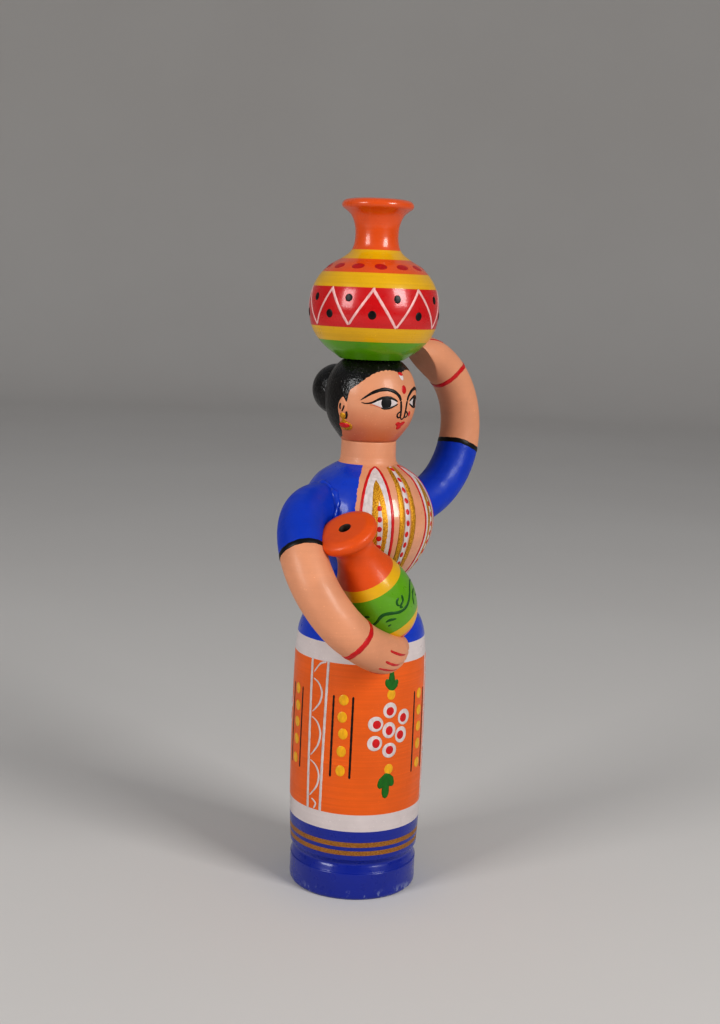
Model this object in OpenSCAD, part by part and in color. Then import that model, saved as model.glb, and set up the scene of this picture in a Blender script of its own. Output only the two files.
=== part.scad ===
// Turned and lacquered wooden doll of a woman carrying two water pots.
// Frame: millimetres, +Z up, origin at the centre of the flat base.
// The chest faces -Y, so the doll's own right hand is on -X and its left hand on +X.

/* [Skirt] */
// Height of the waist joint, where the torso stands on the skirt
waist_z = 111; // [109:0.5:113]
// Radius of the skirt at its widest
skirt_r = 24.9; // [24.5:0.1:25.5]
// Radius of the waist at the joint
waist_r = 12.8; // [12:0.1:13.5]
// Radius of the foot below the turned groove
foot_r = 23.8; // [23:0.1:24.5]

/* [Torso and head] */
// Radius of the bust at its widest
bust_r = 24.8; // [24.4:0.1:25.2]
// Radius of the neck
neck_r = 10; // [9:0.1:10.5]
// Height of the seam between neck and head
head_z = 168; // [167:0.5:169]
// Radius of the head at its widest
head_r = 16.5; // [16:0.1:17]
// Height of the flat on top of the head, where the pot stands
crown_z = 197.2; // [197:0.1:197.5]
// Direction of the face, turned to the doll's left from the chest
face_turn = 8; // [0:1:15]
// Radius of the hair bun
bun_r = 9.5; // [9:0.1:10]

/* [Pots] */
// Radius of the head pot at its belly
pot_r = 23.4; // [23:0.1:24]
// Height of the head pot
pot_h = 56.7; // [56:0.1:58]
// Radius of the small pot at its belly
jar_r = 13.7; // [13.2:0.1:14.2]
// Radius of the drilled mouth hole in both pots
mouth_r = 1.8; // [1.5:0.1:2.5]
// Depth of the drilled mouth hole
mouth_depth = 8; // [6:0.5:10]

/* [Arms] */
// Radius of the turned ring that both arms are cut from, at its centre line
ring_r = 29; // [28.5:0.1:29.5]
// Half thickness of an arm at the elbow
arm_r = 7.9; // [7.6:0.1:8.2]

/* [Hidden] */

$fn = 96;

glue = 0.05;         // radial room for glue round a dowel
running = 0.05;      // radial room in a bore that turns or slides on its dowel
joint_gap = 0.1;     // gap under a piece that turns or lifts
touch_gap = 0.3;     // gap between the raised hand and the pot that it steadies

neck_dowel_r = 3;
neck_dowel_low = 155;
neck_dowel_high = 179;
waist_dowel_r = 4;
waist_dowel_half = 11;
shoulder_peg_r = 2;
bun_peg_r = 1.5;
pot_peg_r = 2.5;
pot_peg_low = 186.5;
pot_peg_high = 207;
pin_r = 0.7;
blind = 0.5;         // how much deeper a blind bore is than its dowel

bun_back = 17;       // distance of the bun's centre behind the head's axis
bun_z = 185;

// Small pot: centre of its belly, and the way its mouth points
jar_centre = [-12.5, -25, 113.5];
jar_tilt = 33.6;
jar_heading = -79.7;
jar_belly = 12.5;    // height of the belly's centre above the small pot's bottom
jar_h = 46.6;

// Unit vector in the plan view at an angle from the chest, positive to the doll's left
function heading(a) = [sin(a), -cos(a), 0];

// Smooth curve through a list of points, ends included (Catmull-Rom)
function pick(p, i) = p[max(0, min(len(p) - 1, i))];
function bend(a, b, c, d, u) =
    b + 0.5 * u * (c - a + u * (2 * a - 5 * b + 4 * c - d + u * (3 * (b - c) + d - a)));
function curve(p, steps) =
    [for (i = [0:len(p) - 2], k = [0:steps - 1])
        bend(pick(p, i - 1), p[i], p[i + 1], pick(p, i + 2), k / steps), p[len(p) - 1]];

// Solid of revolution from an outline of [radius, height] points that starts and ends on the axis
module turned(outline) {
    rotate_extrude() polygon(outline);
}

// A dowel or a bore from one point to another
module rod(r, from, to) {
    d = to - from;
    translate(from)
        rotate([0, acos(d[2] / norm(d)), atan2(d[1], d[0])])
            cylinder(r = r, h = norm(d));
}

// Skirt: foot, groove, straight wall, and the hip that rounds in to the waist
hip = curve([[skirt_r - 0.5, 88.6], [23.8, 95.4], [22.9, 99.6], [21.2, 103.2],
             [17.6, 106.6], [waist_r + 1.1, 109], [waist_r, waist_z]], 6);
wall = curve([[24, 15.6], [24.5, 26], [skirt_r - 0.1, 36], [skirt_r, 55],
              [skirt_r - 0.2, 76], [skirt_r - 0.5, 88.6]], 4);
groove = curve([[24, 15.6], [23.3, 14.6], [22.7, 13.4], [23.1, 12], [foot_r, 9.8]], 4);
foot = curve([[foot_r, 9.8], [foot_r, 5], [foot_r, 1.2], [foot_r - 0.7, 0]], 3);

module skirt_solid() {
    turned(concat([[0, 0]], [for (i = [len(foot) - 1:-1:0]) foot[i]],
                  [for (i = [len(groove) - 2:-1:0]) groove[i]],
                  [for (i = [1:len(wall) - 1]) wall[i]],
                  [for (i = [1:len(hip) - 1]) hip[i]], [[0, waist_z]]));
}

// Torso: waist, bust and neck, turned in one piece
bust = curve([[waist_r, waist_z], [13.6, 114.5], [15.6, 118.6], [19, 123], [22.2, 128.6],
              [24.2, 134.2], [bust_r, 139.6], [24.1, 144.4], [21.9, 149.8],
              [18.4, 154.8], [13.8, 158], [neck_r + 0.8, 159.8], [neck_r + 0.1, 162]], 6);

module torso_solid() {
    turned(concat([[0, waist_z]], bust, [[neck_r, head_z - joint_gap], [0, head_z - joint_gap]]));
}

// Head: a ball cut flat below for the neck and above for the pot
skull = curve([[neck_r + 0.1, head_z], [12.3, 170.8], [14.6, 174.2], [16.1, 178.6],
               [head_r, 183.2], [16.3, 187], [15.2, 190.9], [13.2, 194.3], [10.8, 196.7]], 6);

module head_solid() {
    turned(concat([[0, head_z]], skull, [[9.6, crown_z], [0, crown_z]]));
}

// Head pot, in its own frame with its flat bottom at height 0
belly = curve([[11.6, 0], [13.6, 1.4], [16.9, 3.8], [20.4, 7.6], [22.6, 12], [pot_r, 18],
               [22.3, 25], [19.6, 30], [16, 33.4], [12.4, 35.6], [9.4, 37.9], [8.1, 40.6],
               [7.75, 44], [8.1, 47.6], [9.4, 50.8], [11.3, 52.6]], 5);
lip = curve([[11.3, 52.6], [12.6, 53.6], [12.8, 54.9], [11.7, 56.1], [9.5, pot_h - 0.1]], 5);

module pot_solid(grow = 0) {
    turned(concat([[0, -grow]], [for (p = belly) p + [grow, -grow]],
                  [for (i = [1:len(lip) - 1]) lip[i] + [grow, grow]], [[0, pot_h + grow]]));
}

// Small pot, in its own frame with its flat bottom at height 0
jar = curve([[8.2, 0], [9.9, 1.2], [11.9, 4.4], [13.1, 8.4], [jar_r, jar_belly], [13.4, 17],
             [12.5, 21], [10.9, 25.5], [8.6, 30.5], [7.1, 35], [7, 38.2], [8.2, 40.8]], 5);
jar_lip = curve([[8.2, 40.8], [10.1, 42.3], [10.75, 43.9], [10.3, 45.5], [8.2, jar_h]], 4);

module in_jar_frame() {
    translate(jar_centre)
        rotate([0, 0, jar_heading])
            rotate([jar_tilt, 0, 0])
                translate([0, 0, -jar_belly])
                    children();
}

module jar_solid() {
    turned(concat([[0, 0]], jar, [for (i = [1:len(jar_lip) - 1]) jar_lip[i]], [[0, jar_h]]));
}

// Arms: stretches of one turned ring. An arm is [ring centre, heading of the elbow, lean of
// the ring's plane, stations], and a station is [angle round the ring, shift outwards,
// half thickness across the ring, half width along its axis, twist of the section].
right_ring = [[-15.2, -16.2, 120.8], -65, 34.5,
              [[104, 0.2, 7.6, 7.8, 0], [88, 0.4, 8.3, 8.2, 0], [62, 0.5, 8.6, 8.4, 0],
               [30, 0.4, 8.2, 8.2, 0], [0, 0.4, arm_r, arm_r, 0], [-30, 0.3, 7.8, 7.6, 0],
               [-46, 0.1, 7.7, 7, 8], [-60, 0.3, 7.5, 6.3, 24], [-76, 0.7, 7.1, 5.4, 36],
               [-87, 0.5, 6.2, 4.6, 40], [-94, 0, 5, 3.8, 42]]];
left_ring = [19 * heading(95) + [0, 0, 171], 95, 0,
             [[-104, 0.2, 7.6, 7.6, 0], [-88, 0.2, 7.9, 8, 0], [-60, 0.2, 8, 8, 0],
              [-25, 0.1, arm_r, arm_r, 0], [5, 0, 7.5, 7.5, 0], [35, 0, 7.2, 7.2, 0],
              [58, 0, 7.1, 7.1, 0], [72, -0.1, 6.9, 6.9, 0], [82, -0.6, 6.2, 6, 0]]];
palm_start = 41;     // angle round the ring where the flat palm starts
palm_depth = 7.4;    // how far inside the ring's centre line the palm lies
ring_steps = 4;      // rings of points between two stations
sides = 28;          // points round an arm
tip_steps = 4;       // rings that round off the fingertips

function ring_out(a) = heading(a[1]);
function ring_up(a) = cos(a[2]) * [0, 0, 1] - sin(a[2]) * heading(a[1] + 90);
function ring_dir(a, t) = cos(t) * ring_out(a) + sin(t) * ring_up(a);
function ring_at(a, t, shift) = a[0] + (ring_r + shift) * ring_dir(a, t);

// One ring of points at a station, drawn in by scale and moved along the arm by ahead
function section(a, s, scale, ahead) =
    let (t = s[0], q = ring_dir(a, t), n = cross(ring_out(a), ring_up(a)),
         q2 = cos(s[4]) * q + sin(s[4]) * n, n2 = cos(s[4]) * n - sin(s[4]) * q,
         c = ring_at(a, t, s[1]) + ahead * cross(q, n) * sign(a[3][0][0]))
    [for (k = [0:sides - 1])
        c + scale * (s[2] * cos(k * 360 / sides) * q2 + s[3] * sin(k * 360 / sides) * n2)];

module ring_arm(a) {
    s = curve(a[3], ring_steps);
    last = s[len(s) - 1];
    rounds = [for (k = [1:tip_steps])
        section(a, last, cos(80 * k / tip_steps), last[3] * 0.8 * sin(80 * k / tip_steps))];
    rings = concat([for (x = s) section(a, x, 1, 0)], rounds);
    pts = [for (r = rings, p = r) p];
    top = len(rings) - 1;
    turn = sign(a[3][0][0]) > 0 ? 1 : 0;
    side_faces = [for (i = [0:top - 1], k = [0:sides - 1])
        let (k2 = (k + 1) % sides, b = i * sides, c = b + sides)
        each [[b + k, b + k2, c + k], [b + k2, c + k2, c + k]]];
    ends = [[for (k = [sides - 1:-1:0]) k], [for (k = [0:sides - 1]) top * sides + k]];
    faces = concat(side_faces, ends);
    polyhedron(pts, turn == 1 ? [for (f = faces) [for (i = [len(f) - 1:-1:0]) f[i]]] : faces,
               convexity = 6);
}

// Pegs at the shoulders run along the arm's own direction there
right_peg = [ring_at(right_ring, 88, 0) + 11 * [0.88, 0.46, 0.1],
             ring_at(right_ring, 88, 0) - 8 * [0.88, 0.46, 0.1]];
left_peg = [9 * heading(95) + [0, 0, 142.2], 28 * heading(95) + [0, 0, 142.2]];

// Headless wire pins
jar_pin = [jar_centre - 4 * heading(-24), 9 * heading(-24) + [0, 0, jar_centre[2] + 1]];
hand_pin = [ring_at(right_ring, -90, 0.6) - [0.6, 1.4, 0], 19 * heading(-13) + [0, 0, 95.6]];

bun_out = heading(180 + face_turn);
bun_pin = [7 * bun_out + [0, 0, bun_z], (bun_back + 4) * bun_out + [0, 0, bun_z]];

function longer(ends, extra) = let (u = (ends[1] - ends[0]) / norm(ends[1] - ends[0]))
    [ends[0] - extra * u, ends[1] + extra * u];

module peg(r, ends) rod(r, ends[0], ends[1]);
module peg_bore(r, ends) {
    l = longer(ends, blind);
    rod(r + glue, l[0], l[1]);
}

module skirt() {
    color("darkorange") difference() {
        skirt_solid();
        translate([0, 0, waist_z - waist_dowel_half - blind])
            cylinder(r = waist_dowel_r + glue, h = waist_dowel_half + blind + 1);
        peg_bore(pin_r, hand_pin);
    }
}

module torso() {
    color("peachpuff") difference() {
        torso_solid();
        translate([0, 0, waist_z - 1])
            cylinder(r = waist_dowel_r + glue, h = waist_dowel_half + blind + 1);
        translate([0, 0, neck_dowel_low - blind])
            cylinder(r = neck_dowel_r + glue, h = head_z - neck_dowel_low + blind + 1);
        peg_bore(shoulder_peg_r, right_peg);
        peg_bore(shoulder_peg_r, left_peg);
        peg_bore(pin_r, jar_pin);
    }
}

module waist_dowel() {
    color("burlywood") translate([0, 0, waist_z - waist_dowel_half])
        cylinder(r = waist_dowel_r, h = 2 * waist_dowel_half);
}

module neck_dowel() {
    color("burlywood") translate([0, 0, neck_dowel_low])
        cylinder(r = neck_dowel_r, h = neck_dowel_high - neck_dowel_low);
}

module right_arm() {
    color("sandybrown") difference() {
        ring_arm(right_ring);
        torso_solid();
        skirt_solid();
        in_jar_frame() jar_solid();
        peg_bore(shoulder_peg_r, right_peg);
        peg_bore(pin_r, hand_pin);
    }
}

// Block whose face cuts the palm flat: it runs on from the inside of the ring's bend
module palm_block() {
    translate(ring_at(left_ring, palm_start, -palm_depth))
        rotate([0, 0, left_ring[1] - 90])
            rotate([0, -palm_start, 0])
                translate([-20, -15, 0]) cube([20, 30, 30]);
}

module left_arm() {
    color("sandybrown") difference() {
        ring_arm(left_ring);
        torso_solid();
        palm_block();
        translate([0, 0, crown_z + joint_gap]) pot_solid(touch_gap);
        peg_bore(shoulder_peg_r, left_peg);
    }
}

module right_shoulder_peg() {
    color("burlywood") peg(shoulder_peg_r, right_peg);
}

module left_shoulder_peg() {
    color("burlywood") peg(shoulder_peg_r, left_peg);
}

module small_pot() {
    color("limegreen") difference() {
        in_jar_frame() difference() {
            jar_solid();
            translate([0, 0, jar_h - mouth_depth]) cylinder(r = mouth_r, h = mouth_depth + 1);
        }
        skirt_solid();
        torso_solid();
        peg_bore(pin_r, jar_pin);
    }
}

module small_pot_pin() {
    color("silver") peg(pin_r, jar_pin);
}

module right_hand_pin() {
    color("silver") peg(pin_r, hand_pin);
}

module head() {
    color("peachpuff") difference() {
        head_solid();
        translate([0, 0, head_z - 1])
            cylinder(r = neck_dowel_r + running, h = neck_dowel_high - head_z + blind + 1);
        translate([0, 0, pot_peg_low - blind])
            cylinder(r = pot_peg_r + running, h = crown_z - pot_peg_low + blind + 1);
        peg_bore(bun_peg_r, bun_pin);
    }
}

module hair_bun() {
    color("black") difference() {
        translate(bun_back * bun_out + [0, 0, bun_z])
            rotate([-90, 0, face_turn]) turned([for (a = [-90:6:90]) bun_r * [cos(a), sin(a)]]);
        head_solid();
        peg_bore(bun_peg_r, bun_pin);
    }
}

module bun_peg() {
    color("burlywood") peg(bun_peg_r, bun_pin);
}

module pot_peg() {
    color("burlywood") translate([0, 0, pot_peg_low])
        cylinder(r = pot_peg_r, h = pot_peg_high - pot_peg_low);
}

module head_pot() {
    color("red") translate([0, 0, crown_z + joint_gap]) difference() {
        pot_solid();
        translate([0, 0, pot_h - mouth_depth]) cylinder(r = mouth_r, h = mouth_depth + 1);
        translate([0, 0, -1])
            cylinder(r = pot_peg_r + running, h = pot_peg_high - crown_z + blind + 1);
    }
}

skirt();
torso();
waist_dowel();
neck_dowel();
right_arm();
left_arm();
right_shoulder_peg();
left_shoulder_peg();
small_pot();
small_pot_pin();
right_hand_pin();
head();
hair_bun();
bun_peg();
pot_peg();
head_pot();
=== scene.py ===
"""Looks of the turned wooden water carrier: lacquered surfaces and brush strokes on the CAD frame."""
import math

import bpy
import numpy as np
from mathutils import Matrix, Vector


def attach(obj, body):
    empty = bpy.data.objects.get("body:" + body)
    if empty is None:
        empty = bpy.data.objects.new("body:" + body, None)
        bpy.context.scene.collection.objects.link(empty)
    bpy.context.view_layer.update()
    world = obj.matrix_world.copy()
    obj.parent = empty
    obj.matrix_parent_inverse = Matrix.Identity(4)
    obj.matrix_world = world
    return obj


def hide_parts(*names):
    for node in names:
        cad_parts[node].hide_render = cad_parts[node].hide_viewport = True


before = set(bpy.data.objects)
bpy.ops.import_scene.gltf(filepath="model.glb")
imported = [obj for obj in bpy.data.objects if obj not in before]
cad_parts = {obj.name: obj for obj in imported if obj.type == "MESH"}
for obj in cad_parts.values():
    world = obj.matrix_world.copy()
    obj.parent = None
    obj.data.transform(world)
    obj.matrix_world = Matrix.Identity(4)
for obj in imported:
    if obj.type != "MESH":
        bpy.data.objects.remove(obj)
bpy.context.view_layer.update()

MM = 0.001           # the outlines and strokes below are in millimetres
AROUND = 160         # columns round a turned piece
SINK = 0.08          # mm that the underside of a film of paint lies below the surface


# ---------------------------------------------------------------- curves and surfaces

def curve(points, steps):
    """Catmull-Rom curve through the points, ends included."""
    p = np.array(points, float)
    out = []
    for i in range(len(p) - 1):
        a, b, c, d = p[max(i - 1, 0)], p[i], p[i + 1], p[min(i + 2, len(p) - 1)]
        for k in range(steps):
            t = k / steps
            cubic = 2 * a - 5 * b + 4 * c - d + t * (3 * (b - c) + d - a)
            out.append(b + 0.5 * t * (c - a + t * cubic))
    out.append(p[-1])
    return np.array(out)


def heading(angle):
    """Unit vector in the plan view, angle in degrees from the chest towards the doll's left."""
    a = math.radians(angle)
    return np.array([math.sin(a), -math.cos(a), 0.0])


def unit(v):
    return v / np.maximum(np.linalg.norm(v, axis=-1, keepdims=True), 1e-12)


class Surface:
    """point(u, v) gives positions in mm: u is an angle in degrees and v runs along the piece."""
    side = 1
    step_v = 0.05

    def spot(self, u, v, lift=0.0):
        """Position that stands lift above the surface at (u, v)."""
        p, n, _, _ = self.local(u, v)
        return p + n * np.asarray(lift)[..., None]

    def local(self, u, v):
        """Position, outward normal, and the mm that one unit of u and one unit of v cover."""
        u = np.asarray(u, float)
        v = np.asarray(v, float)
        step_u = 0.5
        pu = (self.point(u + step_u, v) - self.point(u - step_u, v)) / (2 * step_u)
        pv = (self.point(u, v + self.step_v) - self.point(u, v - self.step_v)) / (2 * self.step_v)
        n = unit(np.cross(pu, pv)) * self.side
        return self.point(u, v), n, np.linalg.norm(pu, axis=-1), np.linalg.norm(pv, axis=-1)


class Turned(Surface):
    """A lathe-turned piece. outer is the outline that is painted, as (radius, height); low and
    high lead on from its ends to the axis. v is the distance along the outline."""

    def __init__(self, outer, low=(), high=(), turn=np.eye(3), origin=(0, 0, 0)):
        path = np.array(list(low) + list(outer) + list(high), float)
        length = np.concatenate([[0], np.cumsum(np.linalg.norm(np.diff(path, axis=0), axis=1))])
        self.first = len(low)
        self.last = len(low) + len(outer) - 1
        self.s = length - length[self.first]
        self.r = path[:, 0]
        self.z = path[:, 1]
        self.turn = np.array(turn)
        self.origin = np.array(origin, float)

    def point(self, u, v):
        u, v = np.broadcast_arrays(np.asarray(u, float), np.asarray(v, float))
        r = np.interp(v, self.s, self.r)
        z = np.interp(v, self.s, self.z)
        a = np.radians(u)
        p = np.stack([r * np.sin(a), -r * np.cos(a), z], -1)
        return p @ self.turn.T + self.origin

    def v(self, z):
        """Distance along the outline at which it has this height."""
        part = slice(self.first, self.last + 1)
        return np.interp(z, self.z[part], self.s[part])

    def radius(self, z):
        part = slice(self.first, self.last + 1)
        return np.interp(z, self.z[part], self.r[part])


def outline(node, least, turn=np.eye(3), origin=(0, 0, 0)):
    """Outer (radius, height) points of a turned CAD node, smoothed, leaving out its bores."""
    full_circle = 24
    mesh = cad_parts[node].data
    p = np.array([v.co for v in mesh.vertices]) / MM
    p = (p - origin) @ np.array(turn)
    r = np.hypot(p[:, 0], p[:, 1])
    rings = {}
    for radius, height in zip(r, p[:, 2]):
        rings.setdefault(round(float(height), 2), []).append(float(radius))
    points = []
    for z, rs in rings.items():
        widest = max(rs)
        if widest > least and sum(x > widest - 0.02 for x in rs) >= full_circle:
            points.append((widest, z))
    return curve(sorted(points, key=lambda q: q[1]), 2)


class RingArm(Surface):
    """An arm: a stretch of a turned ring whose section changes from station to station.
    u goes round the section and v counts stations; past the last one the tip rounds off."""
    ring_r = 29.0
    step_v = 0.01
    tip_reach = 0.8

    def __init__(self, centre, elbow, lean, stations, shape=None):
        self.centre = np.array(centre, float)
        self.out = heading(elbow)
        up = np.array([0, 0, 1.0])
        self.up = math.cos(math.radians(lean)) * up - math.sin(math.radians(lean)) * heading(elbow + 90)
        self.across = np.cross(self.out, self.up)
        steps = 12
        self.stations = curve(stations, steps)
        self.index = np.arange(len(self.stations)) / steps
        self.end = len(stations) - 1
        self.way = 1 if stations[0][0] > 0 else -1
        self.side = self.way
        self.shape = shape

    def v(self, angle):
        """Station count at which the ring angle is reached."""
        t = self.stations[:, 0]
        return np.interp(-self.way * np.asarray(angle, float), -self.way * t, self.index)

    def point(self, u, v):
        u, v = np.broadcast_arrays(np.asarray(u, float), np.asarray(v, float))
        t, shift, thick, wide, twist = (np.interp(v, self.index, self.stations[:, k]) for k in range(5))
        tip = np.clip(v - self.end, 0, 0.999) * math.pi / 2
        scale = np.cos(tip)[..., None]
        t, twist, k = np.radians(t), np.radians(twist), np.radians(u)
        q = np.cos(t)[..., None] * self.out + np.sin(t)[..., None] * self.up
        q2 = np.cos(twist)[..., None] * q + np.sin(twist)[..., None] * self.across
        n2 = np.cos(twist)[..., None] * self.across - np.sin(twist)[..., None] * q
        ahead = np.cross(q, self.across) * self.way
        c = self.centre + (self.ring_r + shift)[..., None] * q
        c = c + (self.tip_reach * wide * np.sin(tip))[..., None] * ahead
        ring = (thick * np.cos(k))[..., None] * q2 + (wide * np.sin(k))[..., None] * n2
        p = c + scale * ring
        return p if self.shape is None else self.shape(self, p, u, v)


# ---------------------------------------------------------------- meshes

class Build:
    """Collects the faces of one piece, with the number of the material slot of each."""

    def __init__(self):
        self.verts = []
        self.faces = []
        self.slots = []

    def grid(self, points, side=1, around=True, slots=None):
        """Quads between rows of points. around joins each row's end to its start."""
        rows, cols = points.shape[:2]
        base = sum(len(v) for v in self.verts)
        self.verts.append(points.reshape(-1, 3))
        for i in range(rows - 1):
            for j in range(cols if around else cols - 1):
                j2 = (j + 1) % cols
                quad = [base + i * cols + j, base + i * cols + j2,
                        base + (i + 1) * cols + j2, base + (i + 1) * cols + j]
                self.faces.append(quad if side > 0 else quad[::-1])
                self.slots.append(0 if slots is None else int(slots[i][j]))
        return base

    def cap(self, base, row, cols, side):
        ring = [base + row * cols + j for j in range(cols)]
        self.faces.append(ring if side > 0 else ring[::-1])
        self.slots.append(self.slots[-1] if self.slots else 0)

    def solid(self, name, materials):
        """Smooth-shaded Blender object of the collected faces."""
        mesh = bpy.data.meshes.new(name)
        points = np.concatenate(self.verts) * MM
        mesh.from_pydata(points.tolist(), [], self.faces)
        for m in materials:
            mesh.materials.append(m)
        mesh.polygons.foreach_set("material_index", self.slots)
        mesh.polygons.foreach_set("use_smooth", [True] * len(self.faces))
        mesh.validate()
        mesh.update()
        obj = bpy.data.objects.new(name, mesh)
        bpy.context.scene.collection.objects.link(obj)
        return obj

    def piece(self, name, materials, body, slot):
        obj = self.solid(name, materials)
        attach(obj, body)
        return obj


def lathe(build, surface, rows, slot_of, columns=AROUND):
    """Turned mesh with one row at each v in rows. slot_of(v) gives a row's material slot."""
    rows = np.array(sorted(set(np.round(rows, 4))))
    u = np.arange(columns) * 360 / columns
    points = surface.point(np.broadcast_to(u, (len(rows), columns)), rows[:, None])
    slots = [[slot_of(0.5 * (a + b))] * columns for a, b in zip(rows[:-1], rows[1:])]
    build.grid(points, surface.side, True, slots)


def lathe_bands(surface, bands, hole=None):
    """Rows and slot function for bands given as (top height, slot) from the bottom up. hole is
    the slot for the mouth's drilled hole."""
    edges = [float(surface.v(z)) for z, _ in bands[:-1]]
    kinds = [k for _, k in bands]
    if hole is not None:
        edges.append(float(surface.s[-5]))
        kinds.append(hole)
    rows = list(surface.s) + edges
    return rows, lambda v: kinds[int(np.searchsorted(edges, v))]


rng = np.random.RandomState(11)
paint = {}


def brush(body, kind):
    """The mesh that gathers all strokes of one kind on one body."""
    return paint.setdefault((body, kind), Build())


def film(build, surface, left, right, lift, across=5):
    """Closed film of paint between two (u, v) edges. Its middle stands lift above the surface."""
    left = np.asarray(left, float)
    right = np.asarray(right, float)
    x = np.linspace(0, 1, across)
    x = np.clip(0.5 - 0.5 * np.cos(math.pi * x), 0, 1)
    edge = min(0.35, 3 / across)
    h = np.sqrt(np.clip(1 - np.clip(1 - np.minimum(x, 1 - x) / edge, 0, 1) ** 2, 0, 1))
    x = np.concatenate([x, [0.8, 0.5, 0.2]])
    lifts = np.concatenate([lift * h, [-SINK] * 3])
    uv = left[:, None, :] * (1 - x)[None, :, None] + right[:, None, :] * x[None, :, None]
    points = surface.spot(uv[..., 0], uv[..., 1], np.broadcast_to(lifts, uv.shape[:2]))
    base = build.grid(points, surface.side, True)
    cols = len(x)
    build.cap(base, 0, cols, -surface.side)
    build.cap(base, len(left) - 1, cols, surface.side)


def stroke(build, surface, path, width, lift=0.1, steps=6, taper=(1, 1), shake=0.06):
    """Brush stroke along (u, v) points. taper is how round its two ends are drawn out, in widths."""
    c = curve(path, steps)
    _, _, mu, mv = surface.local(c[:, 0], c[:, 1])
    metric = np.stack([mu, mv], -1)
    seg = np.diff(c, axis=0) * 0.5 * (metric[1:] + metric[:-1])
    s = np.concatenate([[0], np.cumsum(np.linalg.norm(seg, axis=1))])
    total = s[-1]
    n = max(8, int(total / max(0.25, 0.35 * np.max(width))) + 4)
    ease = 0.5 - 0.5 * np.cos(np.linspace(0, math.pi, n))
    t = total * (0.65 * ease + 0.35 * np.linspace(0, 1, n))
    c = np.stack([np.interp(t, s, c[:, k]) for k in range(2)], -1)
    w = np.interp(t / total, np.linspace(0, 1, np.size(width)), np.atleast_1d(width))
    wave = rng.uniform(0, 6, 2)
    w = w * (1 + shake * np.sin(t * 1.7 + wave[0]) + shake * 0.6 * np.sin(t * 4.1 + wave[1]))
    for gap, round_off in ((t, taper[0]), (total - t, taper[1])):
        reach = np.maximum(0.5 * w * round_off, 1e-6)
        x = np.clip(gap / reach, 0, 1)
        w = w * np.sqrt(np.clip(1 - (1 - x) ** 2, 0.0004, 1))
    _, _, mu, mv = surface.local(c[:, 0], c[:, 1])
    metric = np.stack([mu, mv], -1)
    d = unit(np.gradient(c, axis=0) * metric)
    off = np.stack([-d[:, 1], d[:, 0]], -1) * (0.5 * w)[:, None] / metric
    film(build, surface, c + off, c - off, lift)


def dot(build, surface, u, v, ru, rv, lift, lean):
    """Round or oval dab of paint with radii ru and rv in mm."""
    around = 20
    wobble = 1 + 0.05 * rng.uniform(-1, 1) * np.cos(2 * np.arange(around) * math.tau / around)
    rings = [(0.02, 1), (0.35, 0.98), (0.65, 0.88), (0.85, 0.62), (0.96, 0.3), (1, 0),
             (0.6, -1), (0.02, -1)]
    _, _, mu, mv = surface.local(np.array([u]), np.array([v]))
    a = np.arange(around) * math.tau / around
    x = ru * np.cos(a) * wobble
    y = rv * np.sin(a) * wobble
    c, s = math.cos(math.radians(lean)), math.sin(math.radians(lean))
    x, y = c * x - s * y, s * x + c * y
    points = []
    for scale, h in rings:
        height = (lift if h >= 0 else SINK) * h
        points.append(surface.spot(u + x * scale / mu, v + y * scale / mv, np.full(around, height)))
    points = np.array(points)[::-1]
    base = build.grid(points, surface.side, True)
    build.cap(base, 0, around, -surface.side)
    build.cap(base, len(points) - 1, around, surface.side)


# ---------------------------------------------------------------- materials

def srgb(r, g, b):
    """Linear colour from display values of 0 to 255."""
    def one(c):
        c = c / 255
        return c / 12.92 if c <= 0.04045 else ((c + 0.055) / 1.055) ** 2.4
    return (one(r), one(g), one(b), 1.0)


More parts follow.
